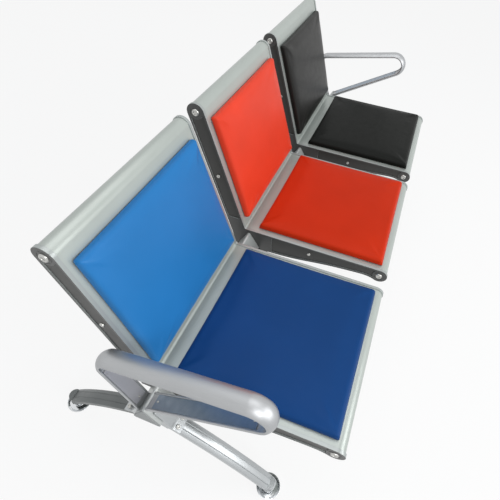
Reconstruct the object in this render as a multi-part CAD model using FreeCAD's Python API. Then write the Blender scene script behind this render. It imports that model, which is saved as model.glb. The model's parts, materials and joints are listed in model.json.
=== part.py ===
import FreeCAD, Part
import math
import os

# Three upholstered steel seats in a row on one triangular beam, with a leg pair and a loop armrest
# at each end. Millimetres. X runs along the beam, the sitter faces -Y, Z is up from the floor.

# Driving dimensions of the row
seat_names = ("left", "middle", "right")
seat_pitch = 560.0            # centre to centre of neighbouring seats
seat_width = 494.0            # over the outer faces of one seat's two side plates
junction_height = 390.0       # floor to the line where seat and back meet
seat_tilt = 3.5               # degrees, front edge up
back_angle = 106.0            # degrees between seat and back

# Seat shell, one bent steel sheet from front roll to top roll
sheet = 1.5
nose_reach = 475.0            # junction line to the centre of the front roll
top_reach = 425.0             # junction line to the centre of the top roll, up the back
roll_radius = 24.0            # outer radius of both rolls
corner_radius = 9.0           # bend between seat and back
hem = 26.0                    # return flange past each roll

# Side plates
plate = 9.0                   # thickness
rim_proud = 2.5               # how far a plate's edge stands past the sheet
rim_width = 6.0               # raised border round the sunk web
web_sink = 2.5                # depth of the sunk web
notch_gap = 0.2               # between the notch and the beam
neck_drop = 41.0              # depth of the seat arm behind its nose
lug_length = 24.0
lug_width = 22.0
lug_height = 20.0
lug_clear = 4.0               # lugs off the beam's lower corners
tab_rise = 14.0               # the rear lug's shoulder climbs this far to the back's rear edge
neck_reach = 400.0            # junction line to the neck behind the nose
nose_sweep = 62.0             # degrees below level where the belly meets the nose's round
belly = ((185.0, 7.0), (285.0, 24.0))   # forward of the junction line, above the lowest edge
web_stop_front = 14.0         # the web ends this far in front of the lugs
web_stop_rear = 30.0
web_stop_top = 42.0           # and starts again this far up the back
web_corner = 3.0

# Triangular beam, ridge up
ridge_back = -17.0            # ridge from the junction line, along the seat, minus is forward
ridge_drop = 5.0              # sharp ridge below the seat plane
beam_side = 84.0
beam_wall = 2.5
beam_corner = 6.0
beam_overhang = 77.0          # beam past the outermost side plates, each end
cap_plate = 3.0
cap_plug = 14.0
cap_gap = 0.3
cap_bevel = 1.0

# Cushions and their plywood boards
cushion_width = 458.0
cushion_thick = 25.0
cushion_crown = 2.5
seat_pad_rear = 41.0          # junction line to the rear edge of the seat cushion
seat_pad_front = 478.0
back_pad_low = 28.0
back_pad_high = 402.0
pad_corner = 16.0
pad_draw = 2.5                # how far each side is drawn in between its corners
crown_inset = 90.0            # edge to the flat top of the crown
crown_corner = 30.0
board = 8.0
board_inset = 14.0
board_corner = 10.0

# Tie rods between the side plates and the screws that hold them
rod_radius = 7.0
end_head_radius = 11.0
mid_head_radius = 6.5
head_height = 3.5
eye_radius = 21.0             # full-thickness round of the plate behind an end screw
mid_seat_rod = 235.0          # junction line to the rod under the seat
mid_back_rod = 215.0          # junction line to the rod behind the back
mid_rod_depth = 27.0          # below the seat and behind the back

# Clamp straps under the beam
strap = 6.0
bolt_head_radius = 6.5
bolt_head = 5.0

# End frames: armrest, hub and legs
arm_inset = 28.0              # beam end to the middle of the armrest
arm_width = 48.0
arm_thick = 17.0
arm_crown = 13.0              # rise of the convex outer face
arm_lip = 6.0
arm_flank = 2.0               # the sides close in this much towards the open face
arm_channel = 3.0             # depth of the channel in the inner face
arm_top_slope = 11.5          # degrees, top bar rises to the front
arm_low_slope = 31.0          # degrees, lower bar falls to the rear
arm_strut_lean = 18.5         # degrees from upright, strut leans back
arm_nose_radius = 45.5        # middle of the section in the front bend
arm_nose_forward = 288.0      # centre of the front bend from the junction line
arm_nose_up = 196.0
arm_rear_radius = 40.0
strut_foot_back = 8.0         # where the strut's middle line crosses the rear face
strut_foot_drop = 45.4
liner = 2.4
liner_gap = 0.3
liner_screw_radius = 3.0
liner_screw_head = 1.6
liner_foot_clear = 22.0       # strut liner off the beam
liner_bend_clear = 6.0        # liners off the bends
liner_beam_clear = 28.0       # lower liner off the beam
liner_screw_in = 10.0         # screws from each liner's ends

hub_inset = 32.0              # beam end to the middle of the hub and legs
hub_width = 46.0
cheek = 7.0
front_cheek_top = 34.0        # from the ridge, down the beam's front face
rear_cheek_top = 63.0
cheek_run_in = 3.0            # cheeks turn out to the ears this far above the beam's corners
hub_crotch = 28.0             # hub left under the beam between the legs
ear = 5.0
ear_length = 28.0

leg_width = 42.0
leg_thick = 20.0
leg_crown = 3.0
leg_groove = 1.6              # depth of the two grooves
groove_half = 2.0
groove_spread = 8.0           # grooves either side of the middle
leg_wall = 4.5
leg_web = 13.0                # thickness of the top between the walls
leg_shoulder = 3.0            # bevel along the top edges
leg_meets_boss = 4.0          # middle line above the middle of the foot boss
leg_start_slope = 30.0        # degrees below level where a leg leaves the hub
leg_start_drop = 34.0         # beam corner down to a leg's middle line
leg_start_out = 9.0           # beam corner out to a leg's start
front_foot_reach = 364.5      # junction line to the front foot's axis, level
rear_foot_reach = 298.5
leg_bolt_spread = 12.0

# Screw feet
boss_radius = 18.0
boss_bottom = 26.0            # above the floor
boss_top = 66.0
boss_bevel = 3.0
stud_radius = 6.0
stud_gap = 0.06
stud_top = 58.0
bore_clear = 2.0              # bore above the stud's end
nut_flats = 19.0
nut_height = 8.0
dish_radius = 36.0
dish_height = 9.0
dish_wall = 2.0
dish_turn = 5.0               # slope from the floor of the dish up to its rim
dish_hub_radius = 11.0
dish_hub_top = 16.0
sole_thick = 3.0
sole_gap = 0.3
sole_bevel = 0.8

# What follows from them
lean = math.radians(back_angle - 90.0)
tilt = math.radians(seat_tilt)
inner_half = seat_width / 2 - plate
beam_height = beam_side * math.sin(math.radians(60))
beam_bottom = -ridge_drop - beam_height
half_beam = seat_pitch * (len(seat_names) - 1) / 2 + seat_width / 2 + beam_overhang
arm_centre = half_beam - arm_inset
hub_centre = half_beam - hub_inset
back_depth = 2 * roll_radius
along_beam = FreeCAD.Vector(1, 0, 0)
shapes = {}


def at(y, z, x=0.0):
    return FreeCAD.Vector(x, y, z)


def on_back(up, behind):
    """Point in the seat's own frame, measured up the back's face and behind it."""
    return (up * math.sin(lean) + behind * math.cos(lean),
            up * math.cos(lean) - behind * math.sin(lean))


def level(y, z):
    """Seat frame to level frame: the seat is tilted and stands junction_height up."""
    return (y * math.cos(tilt) + z * math.sin(tilt),
            junction_height - y * math.sin(tilt) + z * math.cos(tilt))


def tilted(shape):
    """A solid drawn in the seat's frame, turned and lifted into the level frame."""
    turned = shape.copy()
    turned.rotate(FreeCAD.Vector(0, 0, 0), FreeCAD.Vector(1, 0, 0), -seat_tilt)
    turned.translate(FreeCAD.Vector(0, 0, junction_height))
    return turned


def moved(shape, x=0.0, y=0.0, z=0.0):
    copy = shape.copy()
    copy.translate(FreeCAD.Vector(x, y, z))
    return copy


def line(p, q):
    return Part.makeLine(at(*p), at(*q))


def arc(p, through, q):
    return Part.Arc(at(*p), at(*through), at(*q)).toShape()


def round_arc(centre, radius, start, end):
    """Arc in the YZ plane; angles in degrees from +Y towards +Z."""
    pick = []
    for share in (0.0, 0.5, 1.0):
        angle = math.radians(start + (end - start) * share)
        pick.append((centre[0] + radius * math.cos(angle), centre[1] + radius * math.sin(angle)))
    return arc(*pick)


def slab(edges, x_low, x_high):
    """Closed YZ outline drawn out along X."""
    face = Part.Face(Part.Wire(Part.__sortEdges__(edges)))
    face.translate(FreeCAD.Vector(x_low, 0, 0))
    return face.extrude(FreeCAD.Vector(x_high - x_low, 0, 0))


def closed(points):
    return [line(p, q) for p, q in zip(points, points[1:] + points[:1])]


def rod(radius, x_low, x_high, y, z):
    return Part.makeCylinder(radius, x_high - x_low, at(y, z, x_low), FreeCAD.Vector(1, 0, 0))


def block(x_low, x_high, y_low, y_high, z_low, z_high):
    return Part.makeBox(x_high - x_low, y_high - y_low, z_high - z_low, at(y_low, z_low, x_low))


def group(solids):
    return Part.makeCompound(solids)


def button_head(radius, height, foot, axis):
    """Low button head, slightly tapered, standing on foot along axis."""
    return Part.makeCone(radius, radius * 0.8, height, foot, axis)


def face_point(side, down, out):
    """Point by the beam's front (side -1) or rear (side 1) face: down from the ridge, out of it."""
    return (ridge_back + side * (down * 0.5 + out * math.cos(math.radians(30))),
            -ridge_drop - down * math.sin(math.radians(60)) + out * 0.5)


# Beam: rounded triangular tube with a plugged cap in each end
def beam_outline(grow, corner):
    """Triangle with rounded corners, grown out of the beam's faces by grow."""
    middle = (ridge_back, -ridge_drop - beam_height * 2 / 3)
    reach = beam_height * 2 / 3 + 2 * grow - 2 * corner
    edges = []
    ends = []
    for turn in (90.0, 210.0, 330.0):
        centre = (middle[0] + reach * math.cos(math.radians(turn)),
                  middle[1] + reach * math.sin(math.radians(turn)))
        edges.append(round_arc(centre, corner, turn - 60, turn + 60))
        ends.append([(centre[0] + corner * math.cos(math.radians(turn + side * 60)),
                      centre[1] + corner * math.sin(math.radians(turn + side * 60)))
                     for side in (-1, 1)])
    for index in range(3):
        edges.append(line(ends[index][1], ends[(index + 1) % 3][0]))
    return edges


tube = slab(beam_outline(0, beam_corner), -half_beam, half_beam)
bore = slab(beam_outline(-beam_wall, beam_corner - beam_wall), -half_beam, half_beam)
shapes["beam"] = tilted(tube.cut(bore))

for name, side in (("left", -1), ("right", 1)):
    lid = slab(beam_outline(0, beam_corner), half_beam, half_beam + cap_plate)
    lid = lid.makeChamfer(cap_bevel, [e for e in lid.Edges
                                      if all(abs(v.X - half_beam - cap_plate) < 0.01 for v in e.Vertexes)])
    inset = -beam_wall - cap_gap
    plug = slab(beam_outline(inset, beam_corner + inset), half_beam - cap_plug, half_beam)
    cap = lid.fuse(plug).removeSplitter()
    if side < 0:
        cap = cap.mirror(FreeCAD.Vector(0, 0, 0), FreeCAD.Vector(1, 0, 0))
    shapes["beam_cap_" + name] = tilted(cap)


# Seat shell: one sheet from the hem under the front roll to the hem behind the top roll
def shell_path(inward):
    """Open edge chain along the shell, inward of its upper face, and its two ends."""
    nose = (-nose_reach, -roll_radius)
    top = on_back(top_reach, roll_radius)
    run = corner_radius / math.tan(math.radians(back_angle / 2))
    lean_turn = math.degrees(lean)
    hem_low = (-nose_reach + hem, -back_depth + inward)
    hem_high = on_back(top_reach - hem, back_depth - inward)
    chain = [line(hem_low, (-nose_reach, -back_depth + inward)),
             round_arc(nose, roll_radius - inward, 270, 90),
             line((-nose_reach, -inward), (-run, -inward)),
             round_arc((-run, corner_radius), corner_radius + inward, 270, 360 - lean_turn),
             line(on_back(run, inward), on_back(top_reach, inward)),
             round_arc(top, roll_radius - inward, 180 - lean_turn, -lean_turn),
             line(on_back(top_reach, back_depth - inward), hem_high)]
    return chain, hem_low, hem_high


upper, upper_low, upper_high = shell_path(0)
under, under_low, under_high = shell_path(sheet)
shell_edges = upper + under + [line(upper_low, under_low), line(upper_high, under_high)]
seat_shell = slab(shell_edges, -inner_half, inner_half)


# Side plate: an L notched over the beam, with a sunk web, round ends and lugs for the clamp
tip_front = face_point(-1, beam_side, 0)[0] - lug_length - lug_clear
tip_rear = face_point(1, beam_side, 0)[0] + lug_length + lug_clear


def plate_outline(inset):
    rim = rim_proud - inset
    low = beam_bottom + inset
    gap = inset + notch_gap
    fillet = corner_radius - rim_proud + inset
    lean_turn = math.degrees(lean)
    top = on_back(top_reach, roll_radius)
    nose = (-nose_reach, -roll_radius)
    end = roll_radius + rim
    corner_y = -(rim + fillet) * (1 - math.sin(lean)) / math.cos(lean)
    corner = (corner_y, rim + fillet)
    corner_back = (corner_y + fillet * math.cos(lean), rim + fillet - fillet * math.sin(lean))
    rear = back_depth + rim
    tab_top = low + lug_height + tab_rise
    rear_low = on_back((tab_top + rear * math.sin(lean)) / math.cos(lean), rear)
    ridge = (ridge_back, -ridge_drop - 2 * beam_corner)
    ridge_round = beam_corner + gap
    foot_down = (-ridge_drop + gap * 0.5 - low) / math.sin(math.radians(60))
    front_foot = face_point(-1, foot_down, gap)
    rear_foot = face_point(1, foot_down, gap)
    ridge_rear = (ridge[0] + ridge_round * math.cos(math.radians(30)), ridge[1] + ridge_round / 2)
    ridge_front = (ridge[0] - ridge_round * math.cos(math.radians(30)), ridge_rear[1])
    nose_leave = math.radians(-nose_sweep)
    nose_low = (nose[0] + end * math.cos(nose_leave), nose[1] + end * math.sin(nose_leave))
    sweep = [(tip_front + inset, low)] + [(-forward, low + up) for forward, up in belly]
    sweep += [(-neck_reach, -neck_drop + inset), nose_low]
    edge = Part.BSplineCurve()
    edge.interpolate(Points=[at(*p) for p in sweep], InitialTangent=at(-1, 0.02),
                     FinalTangent=at(math.sin(nose_leave), -math.cos(nose_leave)))
    return [line(corner_back, on_back(top_reach, -rim)),
            round_arc(corner, fillet, 270, 360 - lean_turn),
            round_arc(top, end, 180 - lean_turn, -lean_turn),
            line(on_back(top_reach, rear), rear_low),
            line(rear_low, (tip_rear - inset, low + lug_height)),
            line((tip_rear - inset, low + lug_height), (tip_rear - inset, low)),
            line((tip_rear - inset, low), rear_foot),
            line(rear_foot, ridge_rear),
            round_arc(ridge, ridge_round, 30, 150),
            line(ridge_front, front_foot),
            line(front_foot, sweep[0]),
            edge.toShape(),
            round_arc(nose, end, -nose_sweep, -270),
            line((nose[0], rim), (corner[0], rim))]


rod_places = {"nose": (-nose_reach, -roll_radius), "top": on_back(top_reach, roll_radius),
              "seat": (-mid_seat_rod, -mid_rod_depth), "back": on_back(mid_back_rod, mid_rod_depth)}
lug_x = inner_half - (lug_width - plate) / 2
lug_places = (tip_front + lug_length / 2, tip_rear - lug_length / 2)


def side_plate():
    """Right-hand plate of a seat centred on X = 0, its sunk web facing out."""
    outer = inner_half + plate
    body = slab(plate_outline(0), inner_half, outer)
    web = slab(plate_outline(rim_width), outer - web_sink, outer + 1)
    for place in ("nose", "top"):
        web = web.cut(rod(eye_radius, outer - web_sink - 1, outer + 2, *rod_places[place]))
    web = web.cut(block(0, outer + 2, tip_front - web_stop_front, tip_rear + web_stop_rear,
                        beam_bottom - 1, web_stop_top))
    web_plan = rim_width * rim_width * (web_sink + 1)
    for piece in web.Solids:
        if piece.Volume > 10 * web_plan:
            across = [e for e in piece.Edges if abs(abs(e.tangentAt(e.FirstParameter).x) - 1) < 1e-6]
            body = body.cut(piece.makeFillet(web_corner, across))
    for y in lug_places:
        lug = block(inner_half - lug_width + plate, inner_half + plate / 2, y - lug_length / 2,
                    y + lug_length / 2, beam_bottom, beam_bottom + lug_height)
        body = body.fuse(lug)
    return body.removeSplitter()


# Cushion: a crowned loft whose sides are drawn in between the corners, over a plywood board
def pad_ring(half_x, half_y, corner, draw, z):
    """Rounded rectangle whose four sides bow inwards by draw."""
    ring = []
    bend = corner * (1 - math.sqrt(0.5))
    for quarter in range(4):
        half, reach = (half_x, half_y) if quarter % 2 == 0 else (half_y, half_x)
        angle = math.radians(90 * quarter)
        place = [(half - corner, -reach), (0, -reach + draw), (corner - half, -reach),
                 (bend - half, bend - reach), (-half, corner - reach)]
        spots = [FreeCAD.Vector(x * math.cos(angle) + y * math.sin(angle),
                                y * math.cos(angle) - x * math.sin(angle), z) for x, y in place]
        ring += [Part.Arc(*spots[:3]).toShape(), Part.Arc(*spots[2:]).toShape()]
    return Part.Wire(ring)


# Share of the cushion's height, and how far its ring is drawn in there
pad_profile = ((0.0, 1.0), (0.65, 0.5), (0.92, 8.0), (1.0, 26.0))


def cushion(depth):
    half_x = cushion_width / 2
    rings = []
    for share, inward in pad_profile:
        rings.append(pad_ring(half_x - inward, depth / 2 - inward, pad_corner + inward / 2,
                              pad_draw, share * cushion_thick))
    rings.append(pad_ring(half_x - crown_inset, depth / 2 - crown_inset, pad_corner + crown_corner,
                          pad_draw, cushion_thick + cushion_crown))
    soft = Part.makeLoft(rings, True, True)
    wood = plywood(depth)
    return soft.cut(wood), wood


def plywood(depth):
    half_x = cushion_width / 2 - board_inset
    half_y = depth / 2 - board_inset
    wood = block(-half_x, half_x, -half_y, half_y, 0, board)
    return wood.makeFillet(board_corner, [e for e in wood.Edges if abs(e.tangentAt(0).z) > 0.99])


def on_back_face(shape, up):
    turned = shape.copy()
    turned.rotate(FreeCAD.Vector(0, 0, 0), FreeCAD.Vector(1, 0, 0), 90 - math.degrees(lean))
    y, z = on_back(up, 0)
    return moved(turned, y=y, z=z)


seat_soft, seat_wood = cushion(seat_pad_front - seat_pad_rear)
back_soft, back_wood = cushion(back_pad_high - back_pad_low)
seat_middle = -(seat_pad_front + seat_pad_rear) / 2
back_middle = (back_pad_high + back_pad_low) / 2


# Tie rods, the heads of their screws, and the straps that clamp a seat's plates to the beam
def rods_of_seat():
    return [rod(rod_radius, -inner_half, inner_half, y, z) for y, z in rod_places.values()]


def rod_screws():
    screws = []
    outer = inner_half + plate
    for place, (y, z) in rod_places.items():
        end = place in ("nose", "top")
        radius = end_head_radius if end else mid_head_radius
        seat_face = outer if end else outer - web_sink
        head = button_head(radius, head_height, at(y, z, seat_face), along_beam)
        screws += [head, head.mirror(FreeCAD.Vector(0, 0, 0), FreeCAD.Vector(1, 0, 0))]
    return screws


def straps():
    made = []
    for side in (-1, 1):
        low, high = sorted((side * (inner_half + plate), side * (inner_half - lug_width + plate)))
        made.append(block(low, high, tip_front, tip_rear, beam_bottom - strap, beam_bottom))
    return made


def strap_bolts():
    made = []
    for side in (-1, 1):
        for y in lug_places:
            low = beam_bottom - strap - bolt_head
            made.append(hexagon(bolt_head_radius, bolt_head, y, low, side * lug_x))
    return made


def hexagon(radius, height, y, z, x):
    corners = [at(y + radius * math.sin(math.radians(60 * k)), z,
                  x + radius * math.cos(math.radians(60 * k))) for k in range(7)]
    return Part.Face(Part.makePolygon(corners)).extrude(FreeCAD.Vector(0, 0, height))


right_plate = side_plate()
left_plate = right_plate.mirror(FreeCAD.Vector(0, 0, 0), FreeCAD.Vector(1, 0, 0))
all_strap_bolts = []
for index, seat in enumerate(seat_names):
    centre = (index - (len(seat_names) - 1) / 2) * seat_pitch
    pieces = {"shell": seat_shell, "left_plate": left_plate, "right_plate": right_plate,
              "seat_cushion": moved(seat_soft, y=seat_middle),
              "seat_board": moved(seat_wood, y=seat_middle),
              "back_cushion": on_back_face(back_soft, back_middle),
              "back_board": on_back_face(back_wood, back_middle),
              "tie_rods": group(rods_of_seat()), "rod_screws": group(rod_screws()),
              "clamp_straps": group(straps())}
    for name, solid in pieces.items():
        shapes[seat + "_" + name] = tilted(moved(solid, x=centre))
    all_strap_bolts += [tilted(moved(bolt, x=centre)) for bolt in strap_bolts()]
shapes["strap_bolts"] = group(all_strap_bolts)


# Armrest: a convex channel section run up the strut, over the top bar and back to the beam
def arm_face(origin, out, points):
    """Section square to the path: points are across the arm and out of the loop."""
    return [FreeCAD.Vector(across, origin[0] + out[0] * h, origin[1] + out[1] * h)
            for across, h in points]


def arm_section(origin, out):
    half = arm_width / 2
    inner = -arm_thick / 2
    shoulder = arm_thick / 2 - arm_crown
    bed = inner + arm_channel
    rim = half - arm_lip
    spots = arm_face(origin, out, [(-half, shoulder), (0, arm_thick / 2), (half, shoulder),
                                   (half - arm_flank, inner), (rim, inner), (rim, bed), (-rim, bed),
                                   (-rim, inner), (-half + arm_flank, inner)])
    edges = [Part.Arc(*spots[:3]).toShape()]
    edges += [Part.makeLine(p, q) for p, q in zip(spots[2:], spots[3:] + spots[:1])]
    return Part.Face(Part.Wire(edges))


def run(face, y, z):
    """Draws a face out along a straight stretch and gives it back at the far end."""
    step = FreeCAD.Vector(0, y, z)
    return face.extrude(step), moved(face, y=y, z=z)


def turn(face, centre, degrees):
    axis = FreeCAD.Vector(1, 0, 0)
    far = face.copy()
    far.rotate(at(*centre), axis, degrees)
    return face.revolve(at(*centre), axis, degrees), far


top_slope = math.radians(arm_top_slope)
low_slope = math.radians(arm_low_slope)
strut_lean = math.radians(arm_strut_lean)
bend = (-arm_nose_forward, arm_nose_up)
top_front = (bend[0] + arm_nose_radius * math.sin(top_slope),
             bend[1] + arm_nose_radius * math.cos(top_slope))
strut_foot = (strut_foot_back, -strut_foot_drop)
slant = math.tan(strut_lean) * (top_front[1] + strut_foot_drop + top_front[0] * math.tan(top_slope))
elbow_y = (strut_foot_back + slant) / (1 + math.tan(strut_lean) * math.tan(top_slope))
elbow = (elbow_y, top_front[1] - (elbow_y - top_front[0]) * math.tan(top_slope))
elbow_turn = 90 - arm_top_slope + arm_strut_lean
elbow_run = arm_rear_radius * math.tan(math.radians(elbow_turn / 2))
nose_turn = 180 - arm_low_slope + arm_top_slope
overrun = 60.0                # drawn past the beam's face, then trimmed on it
strut_way = (math.sin(strut_lean), math.cos(strut_lean))
strut_out = (strut_way[1], -strut_way[0])
top_way = (-math.cos(top_slope), math.sin(top_slope))
low_way = (math.cos(low_slope), -math.sin(low_slope))
low_out = (low_way[1], -low_way[0])
strut_length = math.hypot(elbow[0] - strut_foot[0], elbow[1] - strut_foot[1]) - elbow_run
top_length = math.hypot(elbow[0] - top_front[0], elbow[1] - top_front[1]) - elbow_run
low_start = (bend[0] + low_out[0] * arm_nose_radius, bend[1] + low_out[1] * arm_nose_radius)
low_length = (ridge_back - low_start[0]) / low_way[0]


def along(origin, way, length):
    return (origin[0] + way[0] * length, origin[1] + way[1] * length)


def beam_side_cutter(side):
    """Everything on the beam's side of its front or rear face plane."""
    deep = -400.0
    corners = [face_point(side, -200, 0), face_point(side, 300, 0),
               face_point(side, 300, deep), face_point(side, -200, deep)]
    return slab(closed(corners), -arm_width, arm_width)


def armrest():
    start = along(strut_foot, strut_way, -overrun)
    strut, face = run(arm_section(start, strut_out), *[(strut_length + overrun) * w for w in strut_way])
    strut = strut.cut(beam_side_cutter(1))
    end = along(strut_foot, strut_way, strut_length)
    elbow_solid, face = turn(face, along(end, strut_out, -arm_rear_radius), elbow_turn)
    top, face = run(face, *[top_length * w for w in top_way])
    nose, face = turn(face, bend, nose_turn)
    low, face = run(face, *[(low_length + overrun) * w for w in low_way])
    low = low.cut(beam_side_cutter(-1))
    return strut.fuse([elbow_solid, top, nose, low]).removeSplitter()


def liner_strip(origin, way, out, length):
    """Flat strip bedded in the channel of one straight stretch."""
    half = arm_width / 2 - arm_lip - liner_gap
    bed = -arm_thick / 2 + arm_channel
    spots = arm_face(origin, out, [(-half, bed), (half, bed), (half, bed - liner), (-half, bed - liner)])
    face = Part.Face(Part.makePolygon(spots + spots[:1]))
    return face.extrude(FreeCAD.Vector(0, way[0] * length, way[1] * length))


def liner_screw(origin, out, x=0.0):
    """Low domed head on the liner, its shank in the arm."""
    bed = -arm_thick / 2 + arm_channel
    axis = FreeCAD.Vector(0, out[0], out[1])
    seat = FreeCAD.Vector(x, origin[0] + out[0] * (bed - liner), origin[1] + out[1] * (bed - liner))
    return button_head(liner_screw_radius, liner_screw_head, seat, axis * -1)


# Strips stop short of the bends and of the beam
strut_liner_start = along(strut_foot, strut_way, liner_foot_clear)
low_liner_start = along(low_start, low_way, liner_bend_clear)
liner_runs = [(strut_liner_start, strut_way, strut_out,
               strut_length - liner_foot_clear - liner_bend_clear),
              (low_liner_start, low_way, low_out, low_length - liner_bend_clear - liner_beam_clear)]


def armrest_liners():
    return [liner_strip(*stretch) for stretch in liner_runs]


def armrest_screws():
    made = []
    for origin, way, out, length in liner_runs:
        for reach in (liner_screw_in, length - liner_screw_in):
            made.append(liner_screw(along(origin, way, reach), out))
    return made


# Legs: cast arcs with two grooves on top and an open underside, ending in a foot boss
def leg_geometry(side):
    """Start of the middle line, its arc centre, start direction out of the arc, turn in degrees."""
    corner = level(*face_point(side, beam_side, 0))
    start = (corner[0] + side * leg_start_out, corner[1] - leg_start_drop)
    reach = rear_foot_reach if side > 0 else front_foot_reach
    foot = (side * reach, (boss_top + boss_bottom) / 2 + leg_meets_boss)
    chord = math.hypot(foot[0] - start[0], foot[1] - start[1])
    slope = math.degrees(math.atan2(start[1] - foot[1], abs(foot[0] - start[0])))
    half_turn = slope - leg_start_slope
    radius = chord / 2 / math.sin(math.radians(half_turn))
    angle = math.radians(leg_start_slope)
    out = (side * math.sin(angle), math.cos(angle))
    centre = (start[0] - out[0] * radius, start[1] - out[1] * radius)
    return start, centre, out, -side * 2 * half_turn, radius, foot


def leg_section(start, out):
    half = leg_width / 2
    top = leg_thick / 2
    inner = half - leg_wall
    roof = top - leg_web
    shoulder = top - leg_crown
    bevel = half - leg_shoulder
    grooves = []
    for middle in (-groove_spread, groove_spread):
        grooves += [(middle - groove_half, top), (middle, top - leg_groove), (middle + groove_half, top)]
    ring = [(-half, shoulder - leg_shoulder), (-bevel, shoulder)] + grooves + [(bevel, shoulder)]
    ring += [(half, shoulder - leg_shoulder), (half, -top), (inner, -top), (inner, roof)]
    ring += [(-inner, roof), (-inner, -top), (-half, -top)]
    spots = arm_face(start, out, ring)
    return Part.Face(Part.makePolygon(spots + spots[:1]))


def leg(side):
    """The arc is drawn past the foot's axis and trimmed on it, then joined to the boss."""
    start, centre, out, sweep, radius, foot = leg_geometry(side)
    bar, _ = turn(leg_section(start, out), centre, sweep * 1.15)
    past = block(-leg_width, leg_width, side * foot[0], side * foot[0] + overrun, -overrun, radius)
    if side < 0:
        past = past.mirror(FreeCAD.Vector(0, 0, 0), FreeCAD.Vector(0, 1, 0))
    bar = bar.cut(past)
    boss = Part.makeCylinder(boss_radius, boss_top - boss_bottom, at(foot[0], boss_bottom))
    boss = boss.makeChamfer(boss_bevel, [e for e in boss.Edges if len(e.Vertexes) == 1
                                         and abs(e.Vertexes[0].Z - boss_top) < 0.01])
    bore = Part.makeCylinder(stud_radius + stud_gap, stud_top + bore_clear - boss_bottom,
                             at(foot[0], boss_bottom))
    return bar.fuse(boss).cut(bore).removeSplitter()


# Hub: a casting that hugs the beam's underside and takes both legs under its ears
def hub():
    corners = []
    ears = []
    for side, cheek_top in ((-1, front_cheek_top), (1, rear_cheek_top)):
        start, centre, out, sweep, radius, foot = leg_geometry(side)
        ear_top = along(start, out, leg_thick / 2 + ear)
        chain = [level(*face_point(side, cheek_top, -1)), level(*face_point(side, cheek_top, cheek)),
                 level(*face_point(side, beam_side - cheek_run_in, cheek)), ear_top,
                 along(start, out, -leg_thick / 2)]
        corners.append(chain)
        half = hub_width / 2
        spots = arm_face(start, out, [(-half, leg_thick / 2), (half, leg_thick / 2),
                                      (half, leg_thick / 2 + ear), (-half, leg_thick / 2 + ear)])
        face = Part.Face(Part.makePolygon(spots + spots[:1]))
        ears.append(turn(face, centre, -side * math.degrees(ear_length / radius))[0])
    front, rear = corners
    crotch = ((front[-1][0] + rear[-1][0]) / 2, level(ridge_back, beam_bottom)[1] - hub_crotch)
    ridge = level(ridge_back, -ridge_drop - front_cheek_top / 2)
    outline = [line(p, q) for p, q in zip(front, front[1:])]
    outline += [arc(front[-1], crotch, rear[-1])]
    outline += [line(p, q) for p, q in zip(rear, rear[1:])]
    outline += [line(front[0], ridge), line(ridge, rear[0])]
    body = slab(outline, -hub_width / 2, hub_width / 2)
    beam_solid = tilted(slab(beam_outline(0, beam_corner), -hub_width, hub_width))
    return body.fuse(ears).cut(beam_solid).removeSplitter()


def leg_bolt_seat(side):
    """Middle of an ear's outer face and the way out of it."""
    start, centre, out, sweep, radius, foot = leg_geometry(side)
    angle = math.radians(leg_start_slope) + ear_length / 2 / radius
    out = (side * math.sin(angle), math.cos(angle))
    return along(centre, out, radius + leg_thick / 2 + ear), out


def leg_bolts():
    made = []
    for side in (-1, 1):
        seat, out = leg_bolt_seat(side)
        axis = FreeCAD.Vector(0, out[0], out[1])
        for x in (-leg_bolt_spread, leg_bolt_spread):
            made.append(button_head(bolt_head_radius, bolt_head - 1, at(*seat, x), axis))
    return made


frame_pieces = {"front_leg": leg(-1), "rear_leg": leg(1), "hub": hub()}
arm_pieces = {"armrest": armrest(), "armrest_liners": group(armrest_liners())}
for name, side in (("left", -1), ("right", 1)):
    for piece, solid in frame_pieces.items():
        shapes[name + "_" + piece] = moved(solid, x=side * hub_centre)
    for piece, solid in arm_pieces.items():
        shapes[name + "_" + piece] = tilted(moved(solid, x=side * arm_centre))
shapes["leg_bolts"] = group([moved(bolt, x=side * hub_centre)
                             for side in (-1, 1) for bolt in leg_bolts()])
shapes["armrest_screws"] = group([tilted(moved(screw, x=side * arm_centre))
                                  for side in (-1, 1) for screw in armrest_screws()])


# Feet: a threaded stud fixed in a turned-up steel dish on a rubber sole, and a lock nut on the leg
def dish_solid():
    """Dish in the XZ plane turned round Z: flat floor, upturned rim and a hub for the stud."""
    low = sole_thick
    inner = dish_radius - dish_wall
    profile = [(0, low), (dish_radius - dish_turn, low), (dish_radius, low + dish_turn),
               (dish_radius, dish_height + low), (inner, dish_height + low),
               (inner, low + dish_turn + dish_wall / 2), (inner - dish_turn, low + dish_wall),
               (dish_hub_radius + dish_turn, low + dish_wall), (dish_hub_radius, dish_hub_top),
               (0, dish_hub_top)]
    spots = [FreeCAD.Vector(r, 0, z) for r, z in profile]
    face = Part.Face(Part.makePolygon(spots + spots[:1]))
    solid = face.revolve(FreeCAD.Vector(0, 0, 0), FreeCAD.Vector(0, 0, 1), 360)
    return solid.cut(Part.makeCylinder(stud_radius, dish_hub_top, FreeCAD.Vector(0, 0, low + dish_wall)))


def sole_solid():
    disc = Part.makeCylinder(dish_radius - dish_turn - sole_gap, sole_thick)
    return disc.makeChamfer(sole_bevel, [e for e in disc.Edges if len(e.Vertexes) == 1
                                         and e.Vertexes[0].Z < 0.01])


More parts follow.
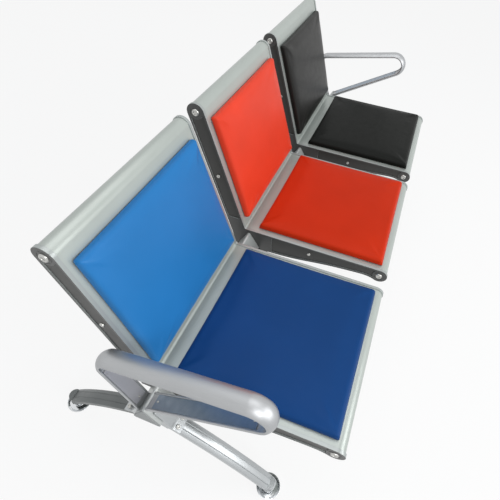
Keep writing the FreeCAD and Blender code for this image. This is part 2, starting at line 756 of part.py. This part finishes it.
dish = dish_solid()
sole = sole_solid()
stud = Part.makeCylinder(stud_radius, stud_top - sole_thick - dish_wall,
                         FreeCAD.Vector(0, 0, sole_thick + dish_wall))
nut = hexagon(nut_flats / math.sqrt(3), nut_height, 0, boss_bottom - nut_height, 0)
nut = nut.cut(Part.makeCylinder(stud_radius + stud_gap, boss_bottom))
nuts = []
for name, x_side in (("left", -1), ("right", 1)):
    for depth, y in (("front", -front_foot_reach), ("rear", rear_foot_reach)):
        place = {"x": x_side * hub_centre, "y": y}
        foot = "%s_%s_foot_" % (name, depth)
        shapes[foot + "dish"] = moved(dish, **place)
        shapes[foot + "sole"] = moved(sole, **place)
        shapes[foot + "stud"] = moved(stud, **place)
        nuts.append(moved(nut, **place))
shapes["foot_lock_nuts"] = group(nuts)

# The origin is under the middle of the whole row, on the floor
front_reach = level(-nose_reach, -roll_radius)[0] - roll_radius - rim_proud
rear_reach = rear_foot_reach + dish_radius
y_shift = -(front_reach + rear_reach) / 2

os.makedirs("parts", exist_ok=True)
for name, shape in shapes.items():
    moved(shape, y=y_shift).exportStep("parts/" + name + ".step")
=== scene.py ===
import bpy
import bmesh
import json
import math
from mathutils import Matrix, Vector

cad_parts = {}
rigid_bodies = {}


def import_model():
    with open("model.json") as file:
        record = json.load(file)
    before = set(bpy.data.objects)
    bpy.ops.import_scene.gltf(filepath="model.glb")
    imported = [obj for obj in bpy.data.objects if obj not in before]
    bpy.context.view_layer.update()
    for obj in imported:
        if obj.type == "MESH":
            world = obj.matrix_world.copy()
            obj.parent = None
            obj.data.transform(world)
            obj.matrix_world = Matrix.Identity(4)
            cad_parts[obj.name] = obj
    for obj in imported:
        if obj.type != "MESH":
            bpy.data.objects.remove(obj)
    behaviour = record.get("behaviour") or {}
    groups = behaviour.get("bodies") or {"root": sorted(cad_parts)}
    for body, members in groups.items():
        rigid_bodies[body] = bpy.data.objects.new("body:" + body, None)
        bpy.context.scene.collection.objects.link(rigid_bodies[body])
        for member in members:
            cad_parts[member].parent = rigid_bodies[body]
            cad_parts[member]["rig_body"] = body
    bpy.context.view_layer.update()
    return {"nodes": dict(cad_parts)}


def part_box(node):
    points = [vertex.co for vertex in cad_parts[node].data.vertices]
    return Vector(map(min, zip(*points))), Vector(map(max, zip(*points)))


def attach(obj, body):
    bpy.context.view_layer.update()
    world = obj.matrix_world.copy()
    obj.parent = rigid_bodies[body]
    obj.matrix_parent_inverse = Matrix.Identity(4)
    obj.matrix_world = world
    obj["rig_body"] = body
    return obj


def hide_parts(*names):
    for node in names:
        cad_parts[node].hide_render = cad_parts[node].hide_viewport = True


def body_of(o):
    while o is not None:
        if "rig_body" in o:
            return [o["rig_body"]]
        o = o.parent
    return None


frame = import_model()
bpy.ops.object.select_all(action="DESELECT")

# Beam: one triangular steel tube, ridge up, that carries the whole row.
# It is welded along a hidden seam and powder coated light grey; the coat shows a faint orange peel.


class Wire:
    """A value on its way through a material; the usual operators add the Math nodes."""

    def __init__(self, finish, socket):
        self.finish = finish
        self.socket = socket

    def maths(self, operation, first, second=None):
        values = {0: first}
        if second is not None:
            values[1] = second
        return self.finish.node("ShaderNodeMath", {"operation": operation}, values)

    def __add__(self, other):
        return self.maths("ADD", self, other)

    def __sub__(self, other):
        return self.maths("SUBTRACT", self, other)

    def __rsub__(self, other):
        return self.maths("SUBTRACT", other, self)

    def __mul__(self, other):
        return self.maths("MULTIPLY", self, other)

    def __gt__(self, other):
        return self.maths("GREATER_THAN", self, other)

    def __lt__(self, other):
        return self.maths("LESS_THAN", self, other)

    __radd__ = __add__
    __rmul__ = __mul__


class Finish:
    """One material: a Principled surface whose constants are set on its own sockets."""

    def __init__(self, name, **constants):
        self.material = bpy.data.materials.new(name)
        self.material.use_nodes = True
        self.tree = self.material.node_tree
        self.surface = self.tree.nodes["Principled BSDF"]
        for socket, value in constants.items():
            self.surface.inputs[socket.replace("_", " ")].default_value = value
        self.place = self.node("ShaderNodeTexCoord", {}, {}, "Object")

    def node(self, kind, settings, values, output=0):
        made = self.tree.nodes.new(kind)
        for setting, value in settings.items():
            if setting == "stops":
                ramp = made.color_ramp.elements
                while len(ramp) < len(value):
                    ramp.new(0.5)
                for element, (at, colour) in zip(ramp, value):
                    element.position = at
                    element.color = colour
            else:
                setattr(made, setting, value)
        for socket, value in values.items():
            if isinstance(value, Wire):
                self.tree.links.new(value.socket, made.inputs[socket])
            else:
                made.inputs[socket].default_value = value
        return Wire(self, made.outputs[output])

    def mix(self, factor, first, second):
        return self.node("ShaderNodeMix", {"data_type": "RGBA"}, {0: factor, 6: first, 7: second}, 2)

    def noise(self, scale, detail=2.0, stretch=None):
        where = self.place
        if stretch:
            where = self.node("ShaderNodeMapping", {}, {"Vector": where, "Scale": stretch})
        return self.node("ShaderNodeTexNoise", {}, {"Vector": where, "Scale": scale, "Detail": detail})

    def feed(self, socket, value):
        self.tree.links.new(value.socket, self.surface.inputs[socket])

    def relief(self, height, distance, strength=1.0):
        self.feed("Normal", self.node("ShaderNodeBump", {}, {"Height": height, "Distance": distance,
                                                             "Strength": strength}))


def powder_coat(name, colour, roughness, metallic):
    """Sprayed and baked coat: orange peel, a little cloudiness, and a duller patch here and there."""
    coat = Finish(name, Metallic=metallic, Coat_Weight=0.15, Coat_Roughness=0.25)
    cloud = coat.noise(7.0, 3.0)
    lighter = tuple(min(1.0, c * 1.07) for c in colour[:3]) + (1.0,)
    darker = tuple(c * 0.93 for c in colour[:3]) + (1.0,)
    coat.feed("Base Color", coat.mix(cloud, darker, lighter))
    coat.feed("Roughness", coat.noise(30.0) * 0.12 + (roughness - 0.06))
    coat.relief(coat.noise(650.0, 1.0), 0.00006, 0.5)
    return coat.material


def active(obj):
    bpy.ops.object.select_all(action="DESELECT")
    obj.select_set(True)
    bpy.context.view_layer.objects.active = obj


def worked_copy(node, name):
    """A frame node's mesh as one clean skin, its flat faces whole again."""
    obj = bpy.data.objects.new(name, frame["nodes"][node].data.copy())
    bpy.context.scene.collection.objects.link(obj)
    obj.data.materials.clear()
    active(obj)
    bpy.ops.object.mode_set(mode="EDIT")
    bpy.ops.mesh.select_all(action="SELECT")
    bpy.ops.mesh.remove_doubles(threshold=0.00001)
    bpy.ops.mesh.dissolve_limited(angle_limit=math.radians(0.6))
    bpy.ops.mesh.select_all(action="DESELECT")
    bpy.ops.object.mode_set(mode="OBJECT")
    return obj


def eased(obj, width, segments=2, sharpest=40):
    """Breaks the sharp edges, as filing and paint do, and shades the rest smooth."""
    active(obj)
    bevel = obj.modifiers.new("edges", "BEVEL")
    bevel.width = width
    bevel.segments = segments
    bevel.limit_method = "ANGLE"
    bevel.angle_limit = math.radians(sharpest)
    bevel.harden_normals = False
    bpy.ops.object.modifier_apply(modifier=bevel.name)
    bpy.ops.object.shade_smooth_by_angle(angle=math.radians(33))
    flat = obj.modifiers.new("flat_faces", "WEIGHTED_NORMAL")
    flat.keep_sharp = True
    bpy.ops.object.modifier_apply(modifier=flat.name)
    return obj


def fitted(obj, material, node):
    """Gives a worked piece its finish and puts it in its frame node's place."""
    if material:
        obj.data.materials.append(material)
    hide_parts(node)
    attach(obj, body_of(frame["nodes"][node])[0])
    return obj


beam_coat = powder_coat("beam_coat", (0.52, 0.54, 0.53, 1), 0.38, 0.35)
beam = fitted(eased(worked_copy("beam", "beam_tube"), 0.0004), beam_coat, "beam")

# Beam caps: moulded grey plastic plugs pressed into both ends of the beam.
# Their rim is bevelled and the face has a fine spark-eroded grain.
cap_plastic = Finish("cap_plastic", Roughness=0.55)
cap_plastic.feed("Base Color", cap_plastic.mix(cap_plastic.noise(40.0), (0.30, 0.31, 0.31, 1),
                                               (0.38, 0.39, 0.39, 1)))
cap_plastic.relief(cap_plastic.noise(900.0, 1.0), 0.00008)
for side in ("left", "right"):
    cap = eased(worked_copy("beam_cap_" + side, side + "_beam_cap"), 0.0008)
    fitted(cap, cap_plastic.material, "beam_cap_" + side)

# Seat shells: one steel sheet each, bent at the junction and rolled round at the front and the top.
# Silver powder coat; the rolls catch the light along their length.
silver_coat = powder_coat("silver_coat", (0.45, 0.49, 0.46, 1), 0.36, 0.35)
seats = ("left", "middle", "right")
for seat in seats:
    shell = eased(worked_copy(seat + "_shell", seat + "_seat_sheet"), 0.0003)
    fitted(shell, silver_coat, seat + "_shell")

# Side plates: die-cast L-shaped cheeks with a light rim round a sunk web; the outer faces are coloured
# charcoal as painted shade, and the sunk web darker still.
# Round eyes at the nose and the top carry the screws of the two rolls.
web_depth = 0.0025
# Painted shade: the outward faces and eye rings of the cheeks take a charcoal coat, the sunk web a darker
# one; the rim keeps the plate's grey.
web_shade_coat = powder_coat("web_painted_shade", (0.040, 0.040, 0.037, 1), 0.50, 0.1)
face_shade_coat = powder_coat("cheek_painted_shade", (0.075, 0.076, 0.074, 1), 0.45, 0.15)
rim_coat = powder_coat("rim_coat", (0.40, 0.43, 0.42, 1), 0.34, 0.4)
eye_ring_radius = 0.0155
eye_ring_wire = 0.0007


def eye_ring(x, centre):
    """Raised ring cast round a screw eye."""
    bpy.ops.mesh.primitive_torus_add(major_segments=56, minor_segments=8, major_radius=eye_ring_radius,
                                     minor_radius=eye_ring_wire, location=(0, 0, 0),
                                     rotation=(0, math.radians(90), 0))
    ring = bpy.context.active_object
    bpy.ops.object.transform_apply()
    ring.data.transform(Matrix.Translation((x, centre[1], centre[2])))
    bpy.ops.object.shade_smooth()
    return ring


def islands(node):
    """The separate solids in a frame node, each as its own list of points."""
    mesh = bmesh.new()
    mesh.from_mesh(frame["nodes"][node].data)
    bmesh.ops.remove_doubles(mesh, verts=mesh.verts, dist=0.00001)
    left = set(mesh.verts)
    found = []
    while left:
        stack = [left.pop()]
        group = []
        while stack:
            vert = stack.pop()
            group.append(vert.co.copy())
            for edge in vert.link_edges:
                other = edge.other_vert(vert)
                if other in left:
                    left.discard(other)
                    stack.append(other)
        found.append(group)
    mesh.free()
    return found


def middle(points):
    return Vector([(min(p[i] for p in points) + max(p[i] for p in points)) / 2 for i in range(3)])


for seat in seats:
    heads = [middle(points) for points in islands(seat + "_rod_screws")]
    for side, out in (("left", -1), ("right", 1)):
        node = "%s_%s_plate" % (seat, side)
        low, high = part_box(node)
        face_x = high[0] if out > 0 else low[0]
        cheek = worked_copy(node, "%s_%s_cheek" % (seat, side))
        for coat in (rim_coat, web_shade_coat, face_shade_coat):
            cheek.data.materials.append(coat)
        # Outward faces: flush ones get the charcoal painted shade, sunk ones the darker painted shade of
        # the web.
        for face in cheek.data.polygons:
            depth = abs(face.center.x - face_x)
            if face.normal.x * out > 0.9:
                face.material_index = 2 if depth < web_depth * 0.2 else 1
        eased(cheek, 0.0008, 2)
        near = [spot for spot in heads if abs(spot.x - face_x) < 0.01]
        ends = [min(near, key=lambda spot: spot.y), max(near, key=lambda spot: spot.z)]
        rings = [eye_ring(face_x, spot) for spot in ends]
        for ring in rings:
            ring.data.materials.append(face_shade_coat)
        active(cheek)
        for ring in rings:
            ring.select_set(True)
        bpy.ops.object.join()
        fitted(cheek, None, node)

# Tie rods: round steel bars from cheek to cheek inside both rolls, under the seat and behind the back.
# Blackened, and out of sight but for the two that show from behind and below.
rod_black = powder_coat("rod_black", (0.03, 0.03, 0.033, 1), 0.4, 0.2)
for seat in seats:
    rods = eased(worked_copy(seat + "_tie_rods", seat + "_tie_bars"), 0.0005)
    fitted(rods, rod_black, seat + "_tie_rods")

# Screws and bolts: zinc-plated button heads with a driver recess, turned tight on their seats.
# Each head is slightly tapered and its rim is broken.
zinc = Finish("zinc_plate", Metallic=1.0)
zinc.feed("Base Color", zinc.mix(zinc.noise(120.0), (0.42, 0.42, 0.40, 1), (0.60, 0.60, 0.58, 1)))
zinc.feed("Roughness", zinc.noise(260.0) * 0.2 + 0.22)


def button_heads(node, name):
    """The frame's tapered heads, each given a sunk recess in its smaller end."""
    heads = worked_copy(node, name)
    mesh = heads.data
    caps = [face for face in mesh.polygons if len(face.vertices) > 12]
    facing = {}
    for face in caps:
        key = min(facing, key=lambda k: (mesh.polygons[k].center - face.center).length, default=None)
        if key is not None and (mesh.polygons[key].center - face.center).length < 0.006:
            if face.area < mesh.polygons[key].area:
                facing[face.index] = facing.pop(key)
        else:
            facing[face.index] = True
    for index in facing:
        mesh.polygons[index].select = True
    active(heads)
    bpy.ops.object.mode_set(mode="EDIT")
    radius = math.sqrt(max(mesh.polygons[i].area for i in facing) / math.pi) if facing else 0.004
    bpy.ops.mesh.inset(use_individual=True, thickness=radius * 0.45)
    bpy.ops.mesh.inset(use_individual=True, thickness=radius * 0.02, depth=-radius * 0.25)
    bpy.ops.object.mode_set(mode="OBJECT")
    return eased(heads, radius * 0.09)


for seat in seats:
    fitted(button_heads(seat + "_rod_screws", seat + "_eye_screws"), zinc.material,
           seat + "_rod_screws")
for node in ("leg_bolts", "armrest_screws"):
    fitted(button_heads(node, node + "_heads"), zinc.material, node)
fitted(eased(worked_copy("strap_bolts", "strap_bolt_heads"), 0.0005), zinc.material,
       "strap_bolts")

# Clamp straps: flat black bars under the beam, bolted up into the lugs of the cheeks.
# They pull each seat down onto the beam.
for seat in seats:
    straps = eased(worked_copy(seat + "_clamp_straps", seat + "_beam_straps"), 0.001)
    fitted(straps, rod_black, seat + "_clamp_straps")

# Cushion boards: cut plywood let into the underside of each cushion.
# They stay as the frame has them, with the plies showing as thin layers.
ply = Finish("plywood", Roughness=0.7)
layer = ply.node("ShaderNodeTexWave", {"bands_direction": "Z"}, {"Vector": ply.place, "Scale": 120.0,
                                                                "Distortion": 2.0}, 1)
ply.feed("Base Color", ply.mix(layer, (0.45, 0.30, 0.16, 1), (0.62, 0.46, 0.28, 1)))
for seat in seats:
    for part in ("_seat_board", "_back_board"):
        wood = frame["nodes"][seat + part]
        wood.data.materials.clear()
        wood.data.materials.append(ply.material)

# Cushions: foam on plywood under stretched, coated leather, stapled beneath.
# The cover is tight, so the crown is low, the rim is round and the sides pull in between the corners.
tilt = math.radians(3.5)
lean = math.radians(16.0)
junction_y = 0.08379
junction_z = 0.390
pad_width = 0.457
pad_corner = 0.017
pad_thick = 0.0255
pad_spans = {"seat": (0.041, 0.478), "back": (0.028, 0.402)}
# Painted shade: the lowest 3.5 mm of each pad is darkened towards black.
pad_foot_shade_height = 0.0035
voxel = 0.006


def pad_blank(name, depth):
    """The stuffed cover laid flat on z = 0, centred on the origin."""
    bpy.ops.mesh.primitive_cube_add(size=1.0, location=(0, 0, 0))
    pad = bpy.context.active_object
    pad.name = name
    pad.data.transform(Matrix.Translation((0, 0, pad_thick * 0.46)) @
                       Matrix.Diagonal((pad_width - 0.004, depth - 0.004, pad_thick * 0.92, 1)))
    active(pad)
    bpy.ops.object.mode_set(mode="EDIT")
    edges = bmesh.from_edit_mesh(pad.data)
    for edge in edges.edges:
        upright = abs(edge.verts[0].co.z - edge.verts[1].co.z) > 0.001
        edge.select = upright
    bmesh.update_edit_mesh(pad.data)
    bpy.ops.mesh.bevel(offset=pad_corner, segments=8)
    bpy.ops.mesh.select_all(action="DESELECT")
    edges = bmesh.from_edit_mesh(pad.data)
    for face in edges.faces:
        face.select = face.normal.z > 0.9
    bmesh.update_edit_mesh(pad.data)
    bpy.ops.mesh.region_to_loop()
    bpy.ops.mesh.bevel(offset=0.0095, segments=6)
    bpy.ops.mesh.select_all(action="DESELECT")
    bpy.ops.object.mode_set(mode="OBJECT")
    remesh = pad.modifiers.new("skin", "REMESH")
    remesh.mode = "VOXEL"
    remesh.voxel_size = voxel
    remesh.use_smooth_shade = True
    bpy.ops.object.modifier_apply(modifier=remesh.name)
    return pad


def crown(pad, depth):
    """Low dome of the foam and the pull of the cover along each side."""
    half_x = pad_width / 2
    half_y = depth / 2
    for vert in pad.data.vertices:
        across = min(1.0, abs(vert.co.x) / half_x)
        along = min(1.0, abs(vert.co.y) / half_y)
        lift = (1 - across ** 4) * (1 - along ** 4)
        height = max(0.0, vert.co.z / pad_thick)
        vert.co.z += 0.0022 * lift * height
        pull = 0.0028 * height ** 0.5
        vert.co.x -= math.copysign(pull * across ** 6 * (1 - along ** 2), vert.co.x)
        vert.co.y -= math.copysign(pull * along ** 6 * (1 - across ** 2), vert.co.y)


def puffed(pad):
    """The foam presses the cover out; the staples underneath hold it."""
    start = [vert.co.copy() for vert in pad.data.vertices]
    held = pad.vertex_groups.new(name="staples")
    held.add([v.index for v in pad.data.vertices if v.co.z < 0.004], 1.0, "REPLACE")
    cloth = pad.modifiers.new("cover", "CLOTH")
    cloth.settings.use_pressure = True
    cloth.settings.uniform_pressure_force = 4.0
    cloth.settings.tension_stiffness = 30
    cloth.settings.compression_stiffness = 12
    cloth.settings.bending_stiffness = 0.6
    cloth.settings.vertex_group_mass = "staples"
    cloth.settings.effector_weights.gravity = 0.0
    cloth.point_cache.frame_start = 1
    cloth.point_cache.frame_end = 20
    for step in range(1, 21):
        bpy.context.scene.frame_set(step)
    active(pad)
    bpy.ops.object.modifier_apply(modifier=cloth.name)
    most = 0.0028
    for vert, was in zip(pad.data.vertices, start):
        move = vert.co - was
        if move.length > most:
            vert.co = was + move * (most / move.length)
    bpy.context.scene.frame_set(1)


pads = {}
for part, (near, far) in pad_spans.items():
    depth = far - near - 0.001
    pad = pad_blank(part + "_pad", depth)
    crown(pad, depth)
    puffed(pad)
    active(pad)
    smooth = pad.modifiers.new("relax", "SMOOTH")
    smooth.factor = 0.5
    smooth.iterations = 2
    bpy.ops.object.modifier_apply(modifier=smooth.name)
    finer = pad.modifiers.new("finer", "SUBSURF")
    finer.levels = 1
    finer.render_levels = 1
    bpy.ops.object.modifier_apply(modifier=finer.name)
    bpy.ops.object.shade_smooth()
    # Painted shade along the pad's foot: full at the base, gone 3.5 mm up.
    hem = pad.data.attributes.new("hem", "FLOAT", "POINT")
    for vert in pad.data.vertices:
        vert.co.z = max(0.0003, vert.co.z)
        hem.data[vert.index].value = min(1.0, vert.co.z / pad_foot_shade_height)
    pads[part] = pad


def on_seat(near, far):
    """From the flat pad to its place on the seat's face."""
    slide = Matrix.Translation((0, -(near + far) / 2, 0))
    return Matrix.Translation((0, junction_y, junction_z)) @ Matrix.Rotation(-tilt, 4, "X") @ slide


def on_back(near, far):
    """From the flat pad to its place on the back's face."""
    turn = Matrix.Rotation(math.radians(90) - lean, 4, "X")
    slide = Matrix.Translation((0, (near + far) / 2, 0))
    return (Matrix.Translation((0, junction_y, junction_z)) @ Matrix.Rotation(-tilt, 4, "X")
            @ turn @ slide)


def coated_leather(name, colour, gloss, roughness):
    """Smooth coated leather: fine pebble grain, soft waves, and painted shade darkening the foot of the
    pad.
    """
    hide = Finish(name, Specular_IOR_Level=gloss)
    grain = hide.node("ShaderNodeTexVoronoi", {"feature": "SMOOTH_F1"},
                      {"Vector": hide.place, "Scale": 620.0, "Smoothness": 0.6})
    cloud = hide.noise(5.5, 2.0)
    deep = tuple(c * 0.86 for c in colour) + (1.0,)
    lit = tuple(min(1.0, c * 1.12 + 0.002) for c in colour) + (1.0,)
    # Painted shade: near-black mixed in towards the pad's base.
    foot_shade = hide.node("ShaderNodeAttribute", {"attribute_name": "hem"}, {}, 2)
    hide.feed("Base Color", hide.mix(foot_shade, (0.004, 0.004, 0.005, 1), hide.mix(cloud, deep, lit)))
    hide.feed("Roughness", hide.noise(45.0, 3.0) * 0.14 + (roughness - 0.07))
    creases = hide.noise(16.0, 3.0)
    hide.relief(grain * 0.5 + creases * 1.6, 0.00035, 0.55)
    return hide.material


# Seat and back of each cover are the same leather; the backs are coloured lighter than the seats as
# painted light.
cover_colours_lit_and_shaded = {"left": {"seat": (0.004, 0.052, 0.200), "back": (0.020, 0.190, 0.50)},
                 "middle": {"seat": (0.64, 0.030, 0.003), "back": (0.84, 0.055, 0.020)},
                 "right": {"seat": (0.003, 0.004, 0.003), "back": (0.008, 0.008, 0.007)}}
cover_words = {"left": "blue", "middle": "red", "right": "black"}
cover_sheen = {"seat": (0.12, 0.46), "back": (0.2, 0.36)}
for seat in seats:
    low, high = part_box(seat + "_shell")
    seat_x = (low[0] + high[0]) / 2
    for part, (near, far) in pad_spans.items():
        cushion = bpy.data.objects.new("%s_%s_pad" % (seat, part), pads[part].data.copy())
        bpy.context.scene.collection.objects.link(cushion)
        place = on_seat(near, far) if part == "seat" else on_back(near, far)
        cushion.data.transform(Matrix.Translation((seat_x, 0, 0)) @ place)
        gloss, roughness = cover_sheen[part]
        hide = coated_leather("%s_leather_%s" % (cover_words[seat], part),
                              cover_colours_lit_and_shaded[seat][part], gloss, roughness)
        cushion.data.materials.append(hide)
        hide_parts("%s_%s_cushion" % (seat, part))
        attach(cushion, "frame")
for pad in pads.values():
    bpy.data.objects.remove(pad)

# Armrests: a bent aluminium channel with a rounded outer face, from the beam's back, over and round.
# Brushed lengthwise to a satin.
bright = Finish("brushed_aluminium", Metallic=0.9)
streak = bright.noise(4.0, 2.0, (900.0, 9.0, 9.0))
wear = bright.noise(14.0, 3.0)
bright.feed("Base Color", bright.mix(streak * 0.7 + wear * 0.3, (0.36, 0.37, 0.38, 1),
                                     (0.52, 0.53, 0.54, 1)))
bright.feed("Roughness", streak * 0.12 + 0.38)
bright.relief(streak, 0.00004, 0.6)
for side in ("left", "right"):
    loop = eased(worked_copy(side + "_armrest", side + "_arm_loop"), 0.0012, 3)
    fitted(loop, bright.material, side + "_armrest")

# Armrest liners: coated steel strips let into the channel's open face, held by small screws.
# The strip on the lower bar is slate; the same strip on the strut is coloured pale grey as painted light;
# both are satin.
slate = Finish("liner_slate", Metallic=0.85)
slate.feed("Base Color", slate.mix(slate.noise(60.0), (0.20, 0.25, 0.31, 1), (0.30, 0.35, 0.41, 1)))
slate.feed("Roughness", slate.noise(35.0) * 0.12 + 0.28)
slate.relief(slate.noise(400.0, 1.0), 0.00004)
strut_strip_from = 0.045
# Painted light: the strut strip is coloured pale grey, lighter than the same strip on the lower bar.
strut_strip_lit = powder_coat("liner_painted_light", (0.42, 0.42, 0.45, 1), 0.40, 0.45)
for side in ("left", "right"):
    strips = eased(worked_copy(side + "_armrest_liners", side + "_liner_strips"), 0.0005)
    for coat in (slate.material, strut_strip_lit):
        strips.data.materials.append(coat)
    for face in strips.data.polygons:
        face.material_index = 1 if face.center.y > strut_strip_from else 0
    fitted(strips, None, side + "_armrest_liners")

# Hubs and legs: cast aluminium, fettled and polished; each hub hugs the beam and takes two legs.
# The legs arch down to the floor with two grooves along the top; the rear ones take a rougher copy of the
# casting, coloured darker as painted shade.
cast = Finish("polished_casting", Metallic=0.8)
cast.feed("Base Color", cast.mix(cast.noise(9.0, 2.0), (0.40, 0.42, 0.43, 1), (0.52, 0.54, 0.55, 1)))
cast.feed("Roughness", cast.noise(14.0, 2.0) * 0.06 + 0.30)
cast.relief(cast.noise(300.0, 1.0), 0.00002, 0.3)
# Painted shade: the rear legs take this darker copy of the casting.
shaded_casting = Finish("casting_painted_shade", Metallic=0.6)
shaded_casting.feed("Base Color", shaded_casting.mix(shaded_casting.noise(9.0, 2.0), (0.10, 0.11, 0.11, 1), (0.17, 0.18, 0.18, 1)))
shaded_casting.feed("Roughness", shaded_casting.noise(14.0, 2.0) * 0.08 + 0.36)
for side in ("left", "right"):
    for part in ("front_leg", "rear_leg", "hub"):
        node = side + "_" + part
        piece = eased(worked_copy(node, node + "_casting"), 0.0010 if part == "hub" else 0.0006)
        fitted(piece, (shaded_casting if part == "rear_leg" else cast).material, node)

# Feet: pressed chromed dishes with a turned-up rim on rubber soles, each on its screwed stud.
# A lock nut under the leg's boss holds the height that was set.
chrome = Finish("foot_chrome", Metallic=1.0)
chrome.feed("Base Color", chrome.mix(chrome.noise(25.0), (0.62, 0.64, 0.66, 1), (0.80, 0.81, 0.82, 1)))
chrome.feed("Roughness", chrome.noise(90.0) * 0.1 + 0.06)
rubber = Finish("sole_rubber", Roughness=0.75)
rubber.feed("Base Color", rubber.mix(rubber.noise(80.0), (0.012, 0.012, 0.012, 1), (0.03, 0.03, 0.03, 1)))
rubber.relief(rubber.noise(500.0), 0.0001)
for side in ("left", "right"):
    for end in ("front", "rear"):
        foot = "%s_%s_foot_" % (side, end)
        fitted(eased(worked_copy(foot + "dish", foot + "pressing"), 0.0006, 3, 25), chrome.material,
               foot + "dish")
        fitted(eased(worked_copy(foot + "sole", foot + "pad"), 0.0004), rubber.material,
               foot + "sole")
        fitted(eased(worked_copy(foot + "stud", foot + "screw"), 0.0004), zinc.material,
               foot + "stud")
fitted(eased(worked_copy("foot_lock_nuts", "lock_nuts"), 0.0006), zinc.material,
       "foot_lock_nuts")

# Studio: a pale floor, a white room that metal mirrors, two soft lamps and a small one at the end.
# The camera stands over the left end of the row, as the photograph's did.
floor_white = 0.86
room_light = 0.42
bpy.ops.mesh.primitive_plane_add(size=30.0, location=(0, 0, -0.0005))
floor = bpy.context.active_object
floor.name = "studio_floor"
paper = Finish("floor_paper", Roughness=0.9, Specular_IOR_Level=0.1)
paper.surface.inputs["Base Color"].default_value = (0.9, 0.9, 0.9, 1)
rays = paper.tree.nodes.new("ShaderNodeLightPath")
seen = Wire(paper, rays.outputs["Is Camera Ray"])
for ray in ("Is Glossy Ray", "Is Transmission Ray"):
    seen = seen.maths("MAXIMUM", seen, Wire(paper, rays.outputs[ray]))
glow = paper.node("ShaderNodeEmission", {}, {"Color": (1, 1, 1, 1), "Strength": 1.0})
lit = Wire(paper, paper.surface.outputs[0])
blend = paper.node("ShaderNodeMixShader", {}, {0: seen * floor_white, 1: lit, 2: glow})
paper.tree.links.new(blend.socket, paper.tree.nodes["Material Output"].inputs["Surface"])
floor.data.materials.append(paper.material)

world = bpy.data.worlds.new("room")
bpy.context.scene.world = world
world.use_nodes = True
sky = world.node_tree
sky.nodes.clear()
path = sky.nodes.new("ShaderNodeLightPath")
either = sky.nodes.new("ShaderNodeMath")
either.operation = "MAXIMUM"
metal = sky.nodes.new("ShaderNodeMath")
metal.operation = "MAXIMUM"
sky.links.new(path.outputs["Is Glossy Ray"], metal.inputs[0])
sky.links.new(path.outputs["Is Transmission Ray"], metal.inputs[1])
sky.links.new(path.outputs["Is Camera Ray"], either.inputs[0])
sky.links.new(metal.outputs[0], either.inputs[1])
dim = sky.nodes.new("ShaderNodeBackground")
dim.inputs["Color"].default_value = (0.93, 0.97, 1.0, 1)
dim.inputs["Strength"].default_value = room_light
white = sky.nodes.new("ShaderNodeBackground")
white.inputs["Color"].default_value = (1, 1, 1, 1)
choose = sky.nodes.new("ShaderNodeMixShader")
sky.links.new(either.outputs[0], choose.inputs[0])
sky.links.new(dim.outputs[0], choose.inputs[1])
sky.links.new(white.outputs[0], choose.inputs[2])
out = sky.nodes.new("ShaderNodeOutputWorld")
sky.links.new(choose.outputs[0], out.inputs["Surface"])


def lamp(name, place, target, size, power, colour=(1, 1, 1)):
    light = bpy.data.lights.new(name, "AREA")
    light.shape = "RECTANGLE"
    light.size = size[0]
    light.size_y = size[1]
    light.energy = power
    light.color = colour
    obj = bpy.data.objects.new(name, light)
    bpy.context.scene.collection.objects.link(obj)
    obj.location = place
    obj.rotation_euler = (Vector(target) - Vector(place)).to_track_quat("-Z", "Y").to_euler()


lamp("window_lamp", (-0.6, -3.2, 1.9), (0, 0.1, 0.5), (3.0, 1.8), 58)
lamp("top_lamp", (0.2, 0.0, 3.4), (0, 0, 0.4), (2.6, 2.0), 22)
lamp("end_lamp", (-1.5, -0.7, 1.45), (-0.75, 0.2, 0.7), (0.5, 0.5), 5)

camera_data = bpy.data.cameras.new("photo_camera")
camera = bpy.data.objects.new("photo_camera", camera_data)
bpy.context.scene.collection.objects.link(camera)
camera.location = (-1.0938, -0.2436, 1.3801)
camera.rotation_euler = [math.radians(angle) for angle in (40.983, -6.968, -70.004)]
camera_data.sensor_width = 36.0
camera_data.lens = 28.03
camera_data.shift_x = -0.0692
camera_data.shift_y = -0.0170
bpy.context.scene.camera = camera
bpy.context.scene.view_settings.view_transform = "Standard"
